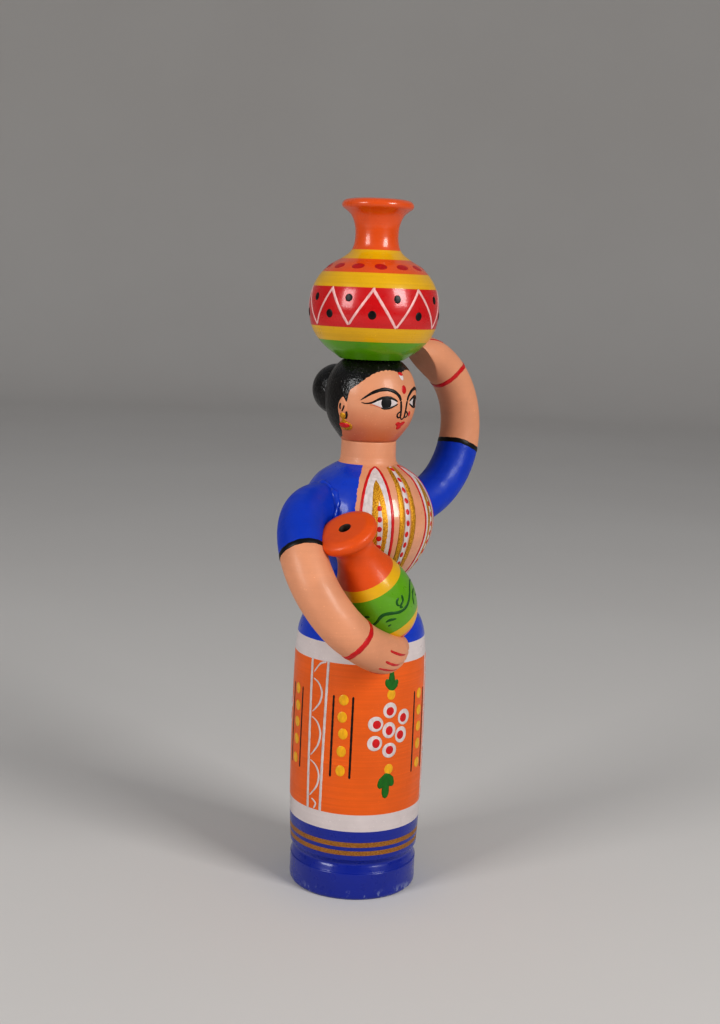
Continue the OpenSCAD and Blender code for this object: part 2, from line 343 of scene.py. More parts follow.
class Shader:
    """A material's node tree with short helpers."""

    def __init__(self, name):
        self.material = bpy.data.materials.new(name)
        self.material.use_nodes = True
        self.tree = self.material.node_tree
        self.bsdf = self.tree.nodes["Principled BSDF"]
        self.place = self.node("ShaderNodeTexCoord").outputs["Object"]

    def node(self, kind, **settings):
        n = self.tree.nodes.new(kind)
        for key, value in settings.items():
            setattr(n, key, value)
        return n

    def join(self, value, socket):
        if isinstance(value, bpy.types.NodeSocket):
            self.tree.links.new(value, socket)
        else:
            socket.default_value = value

    def stretched(self, scale, turn=(0, 0, 0)):
        m = self.node("ShaderNodeMapping")
        m.inputs["Rotation"].default_value = turn
        m.inputs["Scale"].default_value = scale
        self.join(self.place, m.inputs["Vector"])
        return m.outputs["Vector"]

    def noise(self, scale, detail=3, vector=None, rough=0.55):
        n = self.node("ShaderNodeTexNoise")
        self.join(vector or self.place, n.inputs["Vector"])
        n.inputs["Scale"].default_value = scale
        n.inputs["Detail"].default_value = detail
        n.inputs["Roughness"].default_value = rough
        return n.outputs["Fac"]

    def span(self, value, low, high, to_low=0.0, to_high=1.0):
        n = self.node("ShaderNodeMapRange")
        self.join(value, n.inputs["Value"])
        for key, x in (("From Min", low), ("From Max", high), ("To Min", to_low), ("To Max", to_high)):
            n.inputs[key].default_value = x
        return n.outputs["Result"]

    def math(self, what, a, b=0.0):
        n = self.node("ShaderNodeMath", operation=what)
        self.join(a, n.inputs[0])
        self.join(b, n.inputs[1])
        return n.outputs[0]

    def mix(self, factor, a, b):
        n = self.node("ShaderNodeMix", data_type="RGBA")
        self.join(factor, n.inputs[0])
        self.join(a, n.inputs[6])
        self.join(b, n.inputs[7])
        return n.outputs[2]

    def height(self):
        n = self.node("ShaderNodeSeparateXYZ")
        self.join(self.place, n.inputs[0])
        return n.outputs["Z"]

    def bump(self, value, distance, strength=1.0, under=None):
        n = self.node("ShaderNodeBump")
        n.inputs["Strength"].default_value = strength
        n.inputs["Distance"].default_value = distance
        self.join(value, n.inputs["Height"])
        if under is not None:
            self.join(under, n.inputs["Normal"])
        return n.outputs["Normal"]

    def finish(self, colour, rough, normal=None, metal=0.0, coat=0.0, coat_rough=0.1, specular=0.3):
        self.bsdf.inputs["Specular IOR Level"].default_value = specular
        self.join(colour, self.bsdf.inputs["Base Color"])
        self.join(rough, self.bsdf.inputs["Roughness"])
        self.bsdf.inputs["Metallic"].default_value = metal
        self.bsdf.inputs["Coat Weight"].default_value = coat
        self.bsdf.inputs["Coat Roughness"].default_value = coat_rough
        if normal is not None:
            self.join(normal, self.bsdf.inputs["Normal"])
            self.join(normal, self.bsdf.inputs["Coat Normal"])
        return self.material


def shade(colour, k):
    """The colour made darker (k under 1) or lighter."""
    return tuple(min(1.0, c * k) for c in colour[:3]) + (1.0,)


def lacquer(name, colour, turn=(0, 0, 0), streaks=0.5, coat=0.5, rough=0.34, worn=None, deep=None,
            crinkles=0.0):
    """Stick lacquer or enamel on turned wood: fine lathe streaks, soft blotches, orange peel and
    specks. worn is (height in metres, colour) for chips near an edge; deep is a second colour that
    is brushed on as (from height, to height, colour). crinkles is how strongly the film puckered."""
    s = Shader(name)
    lines = s.noise(1.0, 3, s.stretched((14, 14, 1300), turn), 0.7)
    blotch = s.noise(70, 3)
    specks = s.noise(1500, 1)
    base = s.mix(s.span(blotch, 0.3, 0.7), shade(colour, 0.9), shade(colour, 1.07))
    base = s.mix(s.span(lines, 0.3, 0.75, 0.0, streaks), base, shade(colour, 0.78))
    if deep is not None:
        low, high, tone = deep
        z = s.math("ADD", s.height(), s.span(s.noise(90, 2), 0, 1, -0.0025, 0.0025))
        base = s.mix(s.span(z, low, high), base, tone)
    base = s.mix(s.span(specks, 0.7, 0.78, 0.0, 0.35), base, shade(colour, 1.6))
    if worn is not None:
        top, chip = worn
        near = s.span(s.height(), top, 0.0)
        bare = s.math("MULTIPLY", near, s.span(s.noise(240, 4, None, 0.7), 0.56, 0.6))
        base = s.mix(s.math("MULTIPLY", bare, 0.8), base, chip)
    gloss = s.span(s.noise(260, 3), 0.3, 0.7, rough - 0.08, rough + 0.1)
    normal = s.bump(lines, 0.00006, 0.35)
    normal = s.bump(s.noise(420, 2), 0.0001, 0.25, normal)
    if crinkles:
        where = s.span(s.noise(60, 2), 0.46, 0.62)
        folds = s.math("MULTIPLY", where, s.noise(330, 4, None, 0.65))
        normal = s.bump(folds, 0.0009, crinkles, normal)
    return s.finish(base, gloss, normal, 0.0, coat, 0.12)


def brushed(name, colour, rough=0.38, coat=0.25):
    """Hand-brushed enamel: short strands of thicker and thinner paint."""
    s = Shader(name)
    strands = s.noise(900, 2, s.stretched((1, 1, 0.35)))
    tone = s.mix(s.span(strands, 0.3, 0.7), shade(colour, 0.82), shade(colour, 1.1))
    gloss = s.span(s.noise(500, 2), 0.3, 0.7, rough - 0.08, rough + 0.1)
    return s.finish(tone, gloss, s.bump(strands, 0.00008, 0.5), 0.0, coat, 0.15)


def metallic_gold(name, low, high):
    """Gold bronze paint: mica flakes in ochre."""
    s = Shader(name)
    flakes = s.noise(3200, 2)
    tone = s.mix(s.span(flakes, 0.35, 0.65), low, high)
    gloss = s.span(flakes, 0.3, 0.7, 0.28, 0.55)
    return s.finish(tone, gloss, s.bump(flakes, 0.00012, 0.9), 0.55, 0.0)


def hair_paint(name):
    """Black gloss over coarse wood, pitted and pimpled, with light grey specks painted in as painted
    highlights.
    """
    s = Shader(name)
    painted_glints = s.noise(1300, 3)
    blotch = s.noise(120, 3)
    tone = s.mix(s.span(blotch, 0.35, 0.7), srgb(5, 4, 4), srgb(17, 13, 11))
    # painted highlights: sparse light grey specks mixed into the black
    tone = s.mix(s.span(painted_glints, 0.67, 0.73, 0.0, 0.7), tone, srgb(120, 116, 112))
    gloss = s.span(blotch, 0.3, 0.7, 0.2, 0.36)
    normal = s.bump(s.noise(800, 3), 0.0005, 0.55)
    return s.finish(tone, gloss, normal, 0.0, 0.0, 0.08, 0.4)


def bare_wood(name):
    """Dowel wood with grain along its length."""
    s = Shader(name)
    grain = s.noise(1.0, 4, s.stretched((900, 900, 40)))
    tone = s.mix(s.span(grain, 0.3, 0.7), srgb(196, 156, 108), srgb(142, 100, 62))
    return s.finish(tone, s.span(grain, 0.3, 0.7, 0.55, 0.7), s.bump(grain, 0.0002, 0.4))


def wire(name):
    """Drawn steel wire."""
    s = Shader(name)
    drawn = s.noise(700, 2)
    return s.finish(s.mix(drawn, srgb(150, 150, 150), srgb(190, 190, 190)), 0.35, None, 1.0)


ORANGE = srgb(226, 97, 14)
BLUE = srgb(0, 58, 184)
DEEP_BLUE = srgb(0, 32, 140)
WHITE = srgb(206, 194, 192)
RED = srgb(196, 10, 18)
YELLOW = srgb(222, 170, 0)
GREEN = srgb(94, 158, 0)
SKIN = srgb(214, 147, 111)
FLUSH = srgb(194, 104, 64)
POT_ORANGE = srgb(216, 82, 16)


# ---------------------------------------------------------------- measures shared with the CAD

WAIST_Z = 111.0
NECK_TOP = 167.9
JAR_CENTRE = np.array([-12.5, -25.0, 113.5])
JAR_TILT = 33.6
JAR_HEADING = -79.7
JAR_BELLY = 12.5
BUN_BACK = 17.0
BUN_Z = 185.0
BUN_R = 9.5
FACE_TURN = 8.0
PALM_START = 41.0
PALM_DEPTH = 7.4
TOUCH_GAP = 0.3
POT_BOTTOM = 197.3
MOUTH_R = 1.8
MOUTH_DEPTH = 8.0

jar_turn = np.array(Matrix.Rotation(math.radians(JAR_HEADING), 3, "Z")
                    @ Matrix.Rotation(math.radians(JAR_TILT), 3, "X"))
jar_origin = JAR_CENTRE - JAR_BELLY * jar_turn[:, 2]
jar_euler = Matrix(jar_turn.tolist()).inverted().to_euler()


def blind_mouth(r, top):
    """Outline from a mouth's flat top at radius r into its drilled hole."""
    return [(r - 1.2, top), (MOUTH_R + 1, top), (MOUTH_R + 0.4, top - 0.02), (MOUTH_R, top - 0.4),
            (MOUTH_R, top - 4), (MOUTH_R, top - MOUTH_DEPTH), (0.01, top - MOUTH_DEPTH)]


def rim_to_axis(r, z, inner, depth):
    """Outline from the axis, down a blind bore of radius inner, and out over a flat end."""
    sign = 1 if depth > 0 else -1
    return [(0.01, z + depth), (inner, z + depth), (inner, z + sign * 0.3), (inner + 0.3, z),
            (0.4 * r + 0.6 * inner, z), (0.8 * r + 0.2 * inner, z), (r - 0.15, z)]


skirt = Turned(outline("skirt", 12), [(0.01, 0), (8, 0), (16, 0), (22.6, 0)],
               [(8, WAIST_Z), (0.01, WAIST_Z)])
torso = Turned(outline("torso", 9.5), [(0.01, WAIST_Z), (8, WAIST_Z)],
               [(9.6, NECK_TOP), (5, NECK_TOP), (0.01, NECK_TOP)])
head_low = rim_to_axis(10.1, 168.0, 3.05, 11.5)
head_high = rim_to_axis(9.6, 197.2, 2.55, -11.2)[::-1]
head = Turned(outline("head", 9), head_low, head_high)
pot_out = outline("head_pot", 7.5)
pot = Turned(pot_out, rim_to_axis(11.6, POT_BOTTOM, 2.55, 10.2), blind_mouth(*pot_out[-1]))
jar_out = outline("small_pot", 6.5, jar_turn, jar_origin)
jar = Turned(jar_out, [(0.01, 0), (4, 0), (7.6, 0)], blind_mouth(*jar_out[-1]), jar_turn, jar_origin)


def flat_palm(arm, p, u, v):
    """Presses the inside of the raised hand flat, and keeps its tips off the pot."""
    spare = 0.05
    a = math.radians(PALM_START)
    face = math.cos(a) * arm.out + math.sin(a) * arm.up
    along = -math.sin(a) * arm.out + math.cos(a) * arm.up
    rel = p - arm.centre
    short = (arm.ring_r - PALM_DEPTH) - rel @ face
    p = p + face * (np.clip(short, 0, None) * np.clip(rel @ along, 0, 1))[..., None]
    r = np.hypot(p[..., 0], p[..., 1])
    need = pot.radius(p[..., 2]) + TOUCH_GAP + spare
    push = np.where(p[..., 2] > POT_BOTTOM - 2, np.clip(need - r, 0, None), 0)
    out = np.stack([p[..., 0] / np.maximum(r, 1), p[..., 1] / np.maximum(r, 1), 0 * r], -1)
    return p + out * push[..., None]


FINGER_LINES = (270, 298, 322)


def carved_fingers(arm, p, u, v):
    """Shallow grooves between the fingers of the hand under the small pot."""
    deep, half_width = 0.35, 5.0
    start = float(arm.v(-64))
    along = np.clip((v - start) / 1.2, 0, 1)
    inward = arm_axis(arm, v) - p
    dist = np.maximum(np.linalg.norm(inward, axis=-1, keepdims=True), 0.5)
    depth = 0
    for angle in FINGER_LINES:
        gap = (u - angle + 180) % 360 - 180
        depth = depth + deep * np.exp(-(gap / half_width) ** 2)
    return p + inward / dist * (depth * along)[..., None]


def arm_axis(arm, v):
    """Point on the centre line of an arm at v."""
    v = np.minimum(v, arm.end)
    t = np.radians(np.interp(v, arm.index, arm.stations[:, 0]))
    shift = np.interp(v, arm.index, arm.stations[:, 1])
    q = np.cos(t)[..., None] * arm.out + np.sin(t)[..., None] * arm.up
    return arm.centre + (arm.ring_r + shift)[..., None] * q


right_arm = RingArm(
    (-15.2, -16.2, 120.8), -65, 34.5,
    [(104, 0.2, 7.6, 7.8, 0), (88, 0.4, 8.3, 8.2, 0), (62, 0.5, 8.6, 8.4, 0),
     (30, 0.4, 8.2, 8.2, 0), (0, 0.4, 7.9, 7.9, 0), (-30, 0.3, 7.8, 7.6, 0),
     (-46, 0.1, 7.7, 7, 8), (-60, 0.3, 7.5, 6.3, 24), (-76, 0.7, 7.1, 5.4, 36),
     (-87, 0.5, 6.2, 4.6, 40), (-94, 0, 5, 3.8, 42)], carved_fingers)
left_arm = RingArm(
    19 * heading(95) + [0, 0, 171], 95, 0,
    [(-104, 0.2, 7.6, 7.6, 0), (-88, 0.2, 7.9, 8, 0), (-60, 0.2, 8, 8, 0),
     (-25, 0.1, 7.9, 7.9, 0), (5, 0, 7.5, 7.5, 0), (35, 0, 7.2, 7.2, 0),
     (58, 0, 7.1, 7.1, 0), (72, -0.1, 6.9, 6.9, 0), (82, -0.6, 6.2, 6, 0)], flat_palm)


# ---------------------------------------------------------------- big painted surfaces

gold = metallic_gold("gold_paint", srgb(150, 86, 8), srgb(232, 176, 48))
bronze = metallic_gold("bronze_paint", srgb(140, 86, 30), srgb(184, 130, 66))
white = brushed("white_paint", WHITE)
thin_white = brushed("thin_white_paint", srgb(226, 176, 172))
red = brushed("red_paint", RED)
dark_red = brushed("dark_red_paint", srgb(172, 14, 18))
black = brushed("black_paint", srgb(7, 6, 6), 0.4, 0.0)
yellow_dots = brushed("yellow_paint", srgb(226, 164, 14))
leaf_green = brushed("leaf_green_paint", srgb(14, 100, 12))
vine_green = brushed("vine_green_paint", srgb(6, 82, 12))
faded_red = brushed("faded_red_paint", srgb(196, 96, 70))
hair = hair_paint("hair_lacquer")
skin_head = lacquer("skin_face", SKIN, streaks=0.12, coat=0.12, rough=0.4, deep=(0.1815, 0.1695, FLUSH))
skin_chest = lacquer("skin_chest", SKIN, streaks=0.15, coat=0.8, rough=0.32)
skin_arms = lacquer("skin_arms", SKIN, streaks=0.2, coat=0.08, rough=0.46)
blouse_blue = lacquer("blouse_blue", BLUE, streaks=0.35, coat=0.45, rough=0.34, crinkles=0.55)
# The blouse's blue made 8% darker for the sleeves, as painted shade on the arms.
sleeve_blue_shaded = lacquer("sleeve_blue_shaded", shade(BLUE, 0.92), streaks=0.3, coat=0.1, rough=0.44, crinkles=0.4)
# Inside the drilled holes: bare wood, painted very dark brown as painted shade deep in the bore.
shaded_bore = lacquer("bored_hole_shaded", srgb(52, 34, 22), streaks=0.6, coat=0.0, rough=0.6)
wood = bare_wood("dowel_wood")
steel = wire("pin_wire")


def make_skirt():
    chips = srgb(150, 160, 185)
    mats = [lacquer("skirt_blue", DEEP_BLUE, coat=0.6, rough=0.3, worn=(0.004, chips)), bronze,
            lacquer("skirt_white", WHITE, streaks=0.25),
            lacquer("skirt_orange", ORANGE, streaks=0.7, coat=0.2, rough=0.42),
            lacquer("hip_blue", BLUE, coat=0.6)]
    b = Build()
    bands = [(17.4, 0), (19.2, 1), (20.6, 0), (22.5, 1), (26.7, 0), (33.2, 2), (89.4, 3), (96.3, 2),
             (112, 4)]
    rows, kind = lathe_bands(skirt, bands)
    lathe(b, skirt, rows, kind)
    piece = b.piece("skirt_lacquered", mats, "figure", "skirt_lacquer")
    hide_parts("skirt")


def make_torso():
    """The blouse leaves a panel of skin in front; its two brushed edges are columns of the mesh."""
    neckline = float(torso.v(159.7))
    rows = np.array(sorted(set(np.round(list(torso.s) + [neckline], 4))))
    panel, back = 48, 112
    v = rows[:, None]
    ragged = 0.35 * np.sin(v * 1.1) + 0.2 * np.sin(v * 3.7 + 1) + 0.12 * np.sin(v * 9.1)
    left = -47.2 + ragged
    right = 55.5 - ragged[::-1]
    x = np.linspace(0, 1, panel + 1)[:-1]
    y = np.linspace(0, 1, back + 1)[:-1]
    u = np.concatenate([left + (right - left) * x, right + (left + 360 - right) * y], 1)
    slots = np.zeros((len(rows) - 1, panel + back), int)
    slots[:, panel:] = 1
    slots[rows[:-1] >= neckline - 1e-3] = 2
    b = Build()
    b.grid(torso.point(u, np.broadcast_to(v, u.shape)), 1, True, slots)
    piece = b.piece("torso_lacquered", [skin_chest, blouse_blue, skin_arms], "figure", "skin_lacquer")
    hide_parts("torso")


HAIRLINE = [(0, 193.2), (5, 193.4), (14, 194.0), (24, 194.1), (34, 193.7), (44, 192.8), (54, 191.1),
            (61, 189.5), (68, 188.0), (72, 187.3), (74.5, 186.2), (76, 184.0), (77.3, 182.3),
            (79, 183.0), (82, 182.6), (88, 179.6), (91.5, 176.0), (95.5, 171.9), (104, 169.6),
            (118, 168.7), (131, 168.2), (180, 168.2)]


def make_head():
    """Skin below and hair above the hairline, which is a row of the mesh."""
    centre = FACE_TURN + 1
    u = np.arange(0, 360, 1.5)
    offset = np.abs((u - centre + 180) % 360 - 180)
    line = np.array(HAIRLINE)
    z = np.interp(offset, line[:, 0], line[:, 1]) + 0.12 * np.sin(u * 0.9) + 0.07 * np.sin(u * 2.3)
    edge = head.v(np.clip(z, 168.1, None))
    top = head.s[head.last]
    x = np.linspace(0, 1, 26)[:, None]
    y = np.linspace(0, 1, 30)[1:, None]
    skin_rows = edge * x
    hair_rows = edge + (top - edge) * y
    low = np.repeat(head.s[:head.first][:, None], len(u), 1)
    high = np.repeat(head.s[head.last + 1:][:, None], len(u), 1)
    v = np.concatenate([low, skin_rows, hair_rows, high])
    slots = np.ones((len(v) - 1, len(u)), int)
    slots[:len(low) + len(skin_rows) - 1] = 0
    b = Build()
    b.grid(head.point(np.broadcast_to(u, v.shape), v), 1, True, slots)
    piece = b.piece("head_painted", [skin_head, hair], "head", "skin_lacquer")
    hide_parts("head")


def make_bun():
    around = [(BUN_R * math.cos(math.radians(a)), BUN_R * math.sin(math.radians(a)))
              for a in range(-88, 89, 4)]
    place = BUN_BACK * heading(180 + FACE_TURN) + [0, 0, BUN_Z]
    ball = Turned(around, [(0.01, -BUN_R)], [(0.01, BUN_R)], np.eye(3), place)
    b = Build()
    lathe(b, ball, ball.s, lambda v: 0, 72)
    piece = b.piece("bun_painted", [hair], "head", "hair_lacquer")
    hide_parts("hair_bun")


def make_pot():
    mats = [lacquer("pot_green", GREEN), lacquer("pot_yellow", YELLOW, streaks=0.75),
            lacquer("pot_red", RED, streaks=0.35, coat=0.6, rough=0.3),
            lacquer("pot_orange", POT_ORANGE, streaks=0.4, coat=0.6, rough=0.3), shaded_bore]
    b = Build()
    bands = [(204, 0), (208.9, 1), (222.8, 2), (227.9, 1), (232.7, 3), (236, 1), (260, 3)]
    rows, kind = lathe_bands(pot, bands, mats.index(shaded_bore))
    lathe(b, pot, rows, kind)
    piece = b.piece("head_pot_painted", mats, "pot", "pot_lacquer")
    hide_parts("head_pot")


def make_jar():
    turn = tuple(jar_euler)
    mats = [lacquer("jar_base_red", srgb(214, 60, 22), turn),
            lacquer("jar_yellow", YELLOW, turn, 0.3),
            lacquer("jar_green", GREEN, turn, 0.4, 0.6),
            lacquer("jar_orange", POT_ORANGE, turn, 0.3, 0.15, 0.45), shaded_bore]
    b = Build()
    bands = [(2.7, 0), (7.3, 1), (22.9, 2), (26.6, 1), (50, 3)]
    rows, kind = lathe_bands(jar, bands, mats.index(shaded_bore))
    lathe(b, jar, rows, kind, 120)
    piece = b.piece("small_pot_painted", mats, "figure", "small_pot_lacquer")
    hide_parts("small_pot")


def make_arm(arm, node, hem):
    """Blue sleeve down to the hem, skin beyond it."""
    per_station = 8
    tip_rows = 10
    rows = np.concatenate([np.linspace(0, arm.end, arm.end * per_station + 1),
                           arm.end + np.linspace(0, 0.999, tip_rows)[1:], [float(arm.v(hem))]])
    rows = np.array(sorted(set(np.round(rows, 5))))
    cuff = float(arm.v(hem))
    u = np.arange(0, 360, 3.75)
    points = arm.point(np.broadcast_to(u, (len(rows), len(u))), rows[:, None])
    slots = [[0 if a < cuff - 1e-4 else 1] * len(u) for a in rows[:-1]]
    b = Build()
    base = b.grid(points, arm.side, True, slots)
    b.cap(base, 0, len(u), -arm.side)
    b.cap(base, len(rows) - 1, len(u), arm.side)
    piece = b.piece(node + "_painted", [sleeve_blue_shaded, skin_arms], "figure", "sleeve_lacquer")
    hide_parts(node)


# ---------------------------------------------------------------- brush strokes

def on(surface, path):
    """(angle, height) points turned into the surface's own (u, v)."""
    return [(a, float(surface.v(z))) for a, z in path]


def line(body, kind, surface, path, width, lift=0.1, **more):
    stroke(brush(body, kind), surface, on(surface, path), width, lift, **more)


def dab(body, kind, surface, a, z, ru, rv, lift=0.16, lean=0.0):
    dot(brush(body, kind), surface, a, float(surface.v(z)), ru, rv, lift, lean)


def skirt_pattern():
    rim, heart = 2.8, 1.7
    petals = [(0, 0), (0.3, 7.4), (14.6, 4.2), (12, -2.3), (1, -7.6), (-12.5, -4.6), (-12.3, 2.6)]
    for flower in (-10.4, 105, 222):
        for da, dz in petals:
            dab("figure", "white", skirt, flower + da, 65 + dz, rim, rim * 1.06, 0.14)
            shift = -0.4 if da > 5 else 0.5 if da < -5 else 0
            dab("figure", "red", skirt, flower + da + 2 * shift, 64.9 + dz * 0.97,
                heart, heart * 1.1, 0.24)
        for z in (78.3, 50.3):
            dab("figure", "yellow", skirt, flower + 1, z, 1.75, 2.0, 0.15)
        leaf(flower + 1.4, 80.2, 1, 1.35, 1.1)
        leaf(flower - 0.6, 48.2, -1, 1.75, 1.0)
    for column in (-102.2, -50.7, 26.2, 70, 141, 187):
        for z in (76.2, 69.8, 63.6, 57.0, 49.7):
            dab("figure", "yellow", skirt, column + rng.uniform(-1.1, 1.1), z, 1.85, 2.05, 0.17)
        for side in (-8.8, 8.0):
            path = [(column + side + 0.4, 77.7), (column + side, 63.5), (column + side - 0.4, 47.0)]
            line("figure", "black", skirt, path, [0.75, 0.85, 0.8], 0.1, taper=(2, 1))
    for border in (-74.6, 48, 164):
        for top, bottom, width in ((-8.1, -7.4, 1.2), (9.1, 5.9, 1.1)):
            path = [(border + top, 89.6), (border + 0.5 * (top + bottom), 62), (border + bottom, 32.9)]
            line("figure", "white", skirt, path, width, 0.09)
        turn_in = [(border + 7, 89.2), (border + 1, 88.2), (border - 5.5, 84.6)]
        line("figure", "white", skirt, turn_in, [0.8, 0.7, 0.45], 0.08, taper=(1, 3))
        for z, tall in ((81.8, 12), (67.4, 14), (51.0, 13)):
            bow(border, z, tall)
        turn_out = [(border - 3, 37.1), (border + 1.4, 35.6), (border - 0.6, 33.5)]
        line("figure", "white", skirt, turn_out, [0.6, 0.8, 0.6], 0.08)


def leaf(a, z, way, size, spread):
    """Three-lobed leaf whose stalk is at (a, z); way is 1 if its lobes point up."""
    for da, dz, width in ((-0.4, 5.1, 1.9), (-3.6, 2.9, 1.8), (3.3, 2.6, 1.8)):
        mid = (a + 0.6 * da * size * spread, z + way * 0.45 * dz * size)
        path = [(a, z - way * 0.6), mid, (a + da * size * spread, z + way * dz * size)]
        line("figure", "leaf", skirt, path, [1.0, width * size, 1.3 * size], 0.12)


def bow(a, z, tall):
    """One bow of the wavy white line between the border's two lines, from height z down."""
    path = [(a - 5.8, z + 0.6), (a + 0.5, z - 0.08 * tall), (a + 4, z - 0.35 * tall),
            (a + 2.2, z - 0.66 * tall), (a - 2.8, z - 0.9 * tall), (a - 5.6, z - tall)]
    line("figure", "white", skirt, path, [0.45, 0.8, 0.9, 0.75, 0.45], 0.08, taper=(3, 3))


def pot_pattern():
    peaks = [-38.4, 5.2, 47.5, 88, 127, 165, 203, 241, 281.4]
    dips = [-17.7, 28.6, 68, 107, 146, 184, 222, 261, 299.5]
    for k, (peak, dip) in enumerate(zip(peaks, dips)):
        after = peaks[k + 1] if k + 1 < len(peaks) else peaks[0] + 360
        high, low = rng.uniform(222.0, 223.2), rng.uniform(208.7, 209.8)
        line("pot", "thin_white", pot, [(peak - 0.6, high), (dip, low)], [1.15, 0.95], 0.1)
        line("pot", "thin_white", pot, [(after + 0.5, 222.8), (dip + 0.3, low + 0.2)],
             [1.0, 0.85], 0.12)
        dab("pot", "black", pot, peak - 1, 213.4, 1.45, 1.55, 0.15)
        dab("pot", "black", pot, dip, 219.1, 1.3, 1.4, 0.15)
    ovals = 13
    for k in range(ovals):
        a = -31.5 + k * 360 / ovals + rng.uniform(-0.8, 0.8)
        dab("pot", "dark_red", pot, a, 230.1, 2.3, 1.5, 0.12, rng.uniform(-14, 14))


def jar_pattern():
    """Vine with curls, drawn on the small pot's belly; the same again on its other side."""
    for turn in (0, 150):
        def draw(path, width):
            moved = [(a + turn, h) for a, h in path]
            line("figure", "vine", jar, moved, width, 0.1, taper=(2, 3))
        draw([(30, 13.6), (38, 14.4), (45, 15.7), (52, 16.3), (61, 15.7), (70, 14.6), (78, 13.8),
              (88, 13.6), (98, 14.4), (108, 15.8), (118, 17), (130, 17.2), (142, 15.6)],
             [0.8, 1.3, 1.1, 1.2, 1.0, 0.8])
        draw([(84, 14.6), (80, 15.4), (84, 16), (89, 16.6), (92, 18.6)], [0.7, 0.9, 1.0, 1.0])
        draw([(84.5, 18.6), (79, 18), (77.5, 16.8), (80, 15.9)], [1.1, 0.9, 0.6])
        draw([(50.5, 13.2), (57, 13.3), (67, 12.4)], [0.7, 1.1, 0.8])
        draw([(51, 11.1), (56.5, 11.3)], [1.0, 0.8])
        draw([(127, 14.2), (117, 14.4), (110, 13.2), (107, 10.8)], [0.9, 0.9, 0.8])
        draw([(122, 12.2), (127, 11.4)], [1.1, 1.1])
        draw([(24, 17.6), (32, 17.2)], [0.9, 1.2])


def between(body, kind, surface, left, right, lift, across=15, rows=40):
    """Painted area between two curves of (angle, height) points."""
    sides = []
    for path in (left, right):
        c = curve(on(surface, path), 8)
        t = np.linspace(0, len(c) - 1, rows)
        sides.append(np.stack([np.interp(t, np.arange(len(c)), c[:, k]) for k in range(2)], -1))
    film(brush(body, kind), surface, sides[0], sides[1], lift, across)


def petal_motif(c, mirror):
    """Teardrop on the blouse's panel: red outline, white field, gold heart and a dotted stripe."""
    def at(points):
        return [(c + mirror * a, z) for a, z in points]
    outer_l = [(4, 159.4), (-4.3, 158.3), (-8.7, 156.2), (-11.1, 153.7), (-12.5, 150.8), (-13.3, 147.8),
               (-13.7, 145), (-13.7, 136), (-13.2, 128), (-11, 120), (-5, 114)]
    outer_r = [(4, 159.4), (8.7, 158.1), (10.6, 155.7), (11.9, 152.9), (12.6, 149.6), (13.2, 146.2),
               (13.3, 139.3), (13.4, 131.9), (13, 126), (11, 119), (5, 114)]
    gold_l = [(0.6, 155.5), (-2.7, 153.8), (-4, 150.9), (-4.5, 147.9), (-4.8, 143), (-4.8, 136),
              (-4.5, 128), (-2, 119)]
    gold_r = [(0.8, 155.4), (4.2, 153.5), (6.6, 150.6), (8.1, 147.3), (8.9, 143.9), (9.5, 140.4),
              (9.3, 136.8), (8, 128), (4, 119)]
    if mirror < 0:
        outer_l, outer_r, gold_l, gold_r = outer_r, outer_l, gold_r, gold_l
    between("figure", "white", torso, at(outer_l), at(outer_r), 0.07)
    between("figure", "gold", torso, at(gold_l), at(gold_r), 0.12)
    inner_l = [(1.9, 148.9), (0.6, 145), (-0.1, 139), (0.3, 133), (1, 124)]
    inner_r = [(1.9, 148.9), (3.4, 146.6), (5, 142), (5.4, 136.8), (4.6, 130), (3, 124)]
    if mirror < 0:
        inner_l, inner_r = inner_r, inner_l
    between("figure", "white", torso, at(inner_l), at(inner_r), 0.17, 9)
    for path in (outer_l, outer_r):
        line("figure", "red", torso, at(path), [1.0, 1.2, 1.15], 0.15)
    for k, z in enumerate((146.1, 142.3, 138.9, 135.5, 132.3, 128.6, 124.8)):
        dab("figure", "red", torso, c + mirror * 2.1, z, 0.9 + 0.06 * k, 1.15, 0.28)


def chest_pattern():
    petal_motif(-28.5, 1)
    petal_motif(36.5, -1)
    white_c = [(5.4, 159.3), (2.6, 156.5), (1.6, 153), (0.6, 148.8), (-0.1, 144.5), (-0.9, 139),
               (-1.2, 134), (-1.4, 128), (-1, 120), (0, 113)]
    line("figure", "white", torso, white_c, [1.3, 2.0, 2.2, 2.2, 2.0, 1.6], 0.1)
    gold_l = [(a - 6.2 + 0.8 * (159 - z) / 30, z) for a, z in white_c]
    gold_r = [(a + 6.6 - 0.5 * (159 - z) / 30, z) for a, z in white_c]
    for path in (gold_l, gold_r):
        path[0] = (path[0][0] + 1, 159.2)
        line("figure", "gold", torso, path, [1.4, 2.0, 2.3, 2.2, 1.9, 1.4], 0.13)
    z = 158.4
    while z > 116:
        a = float(np.interp(z, [q[1] for q in white_c][::-1], [q[0] for q in white_c][::-1]))
        sway = rng.uniform(-0.3, 0.3)
        dab("figure", "red", torso, a + sway, z, 0.75, 1.2, 0.24, rng.uniform(-12, 12))
        z -= 3.1 + 0.9 * math.sin(max(0, 158 - z) * 0.09)


